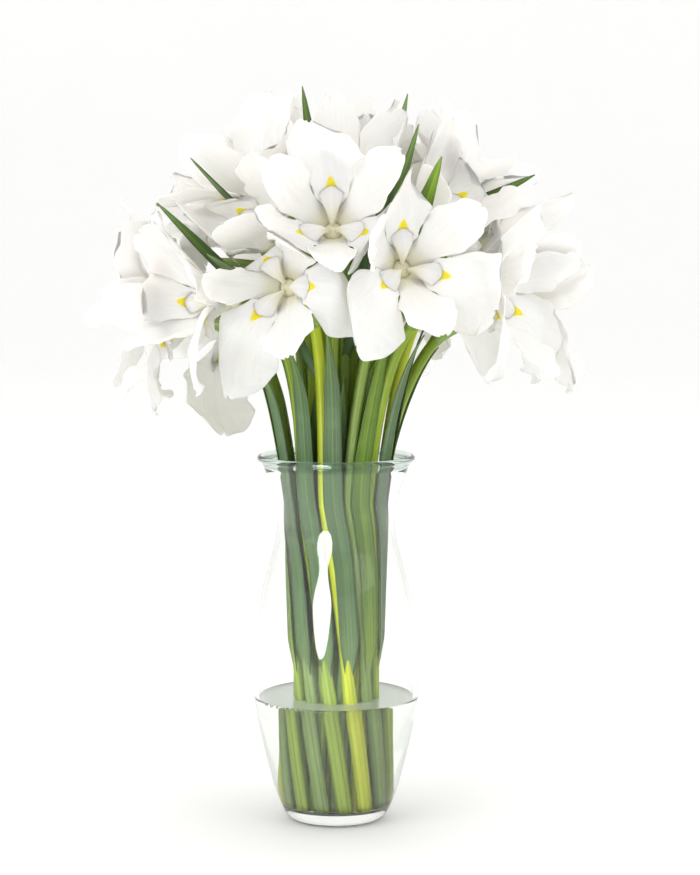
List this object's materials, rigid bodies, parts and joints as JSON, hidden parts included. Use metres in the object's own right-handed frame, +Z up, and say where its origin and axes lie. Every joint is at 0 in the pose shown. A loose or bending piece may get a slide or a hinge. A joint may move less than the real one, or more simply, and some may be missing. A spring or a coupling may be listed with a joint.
{
  "type": "vase of irises",
  "caption": "Cut white irises with leafy green stems standing in water in a waisted clear glass vase with a rolled rim.",
  "frame": {"origin": "middle of the vase's flat underside, on the surface that it stands on", "axes": "+Z up along the vase's axis, -Y towards the viewer of the picture, +X to the viewer's right"},
  "size_m": [0.3182, 0.2964, 0.464],
  "materials": {
    "clear_glass": "clear, smooth, thick at the foot",
    "water": "clear still water with a faint green tint",
    "stem_green": "smooth, slightly waxy fresh leaf, yellow-green to blue-green",
    "petal_white": "soft translucent white petal with a small yellow-orange signal on each fall"
  },
  "bodies": {
    "root": {"vase": "clear_glass", "water": "water", "stem_01": "stem_green", "bloom_01": "petal_white", "stem_02": "stem_green", "bloom_02": "petal_white", "stem_03": "stem_green", "bloom_03": "petal_white", "stem_04": "stem_green", "bloom_04": "petal_white", "stem_05": "stem_green", "bloom_05": "petal_white", "stem_06": "stem_green", "bloom_06": "petal_white", "stem_07": "stem_green", "bloom_07": "petal_white", "stem_08": "stem_green", "bloom_08": "petal_white", "stem_09": "stem_green", "bloom_09": "petal_white", "stem_10": "stem_green", "bloom_10": "petal_white", "stem_11": "stem_green", "bloom_11": "petal_white", "stem_12": "stem_green", "bloom_12": "petal_white", "stem_13": "stem_green", "bloom_13": "petal_white", "stem_14": "stem_green", "bloom_14": "petal_white", "stem_15": "stem_green", "bloom_15": "petal_white", "stem_16": "stem_green", "bloom_16": "petal_white", "stem_17": "stem_green", "bloom_17": "petal_white", "stem_18": "stem_green", "bloom_18": "petal_white", "stem_19": "stem_green", "bloom_19": "petal_white", "stem_20": "stem_green", "bloom_20": "petal_white", "stem_21": "stem_green", "bloom_21": "petal_white", "stem_22": "stem_green", "bloom_22": "petal_white", "stem_23": "stem_green", "bloom_23": "petal_white", "stem_24": "stem_green", "bloom_24": "petal_white", "stem_25": "stem_green", "bloom_25": "petal_white", "stem_26": "stem_green", "bloom_26": "petal_white"}
  },
  "joints": []
}
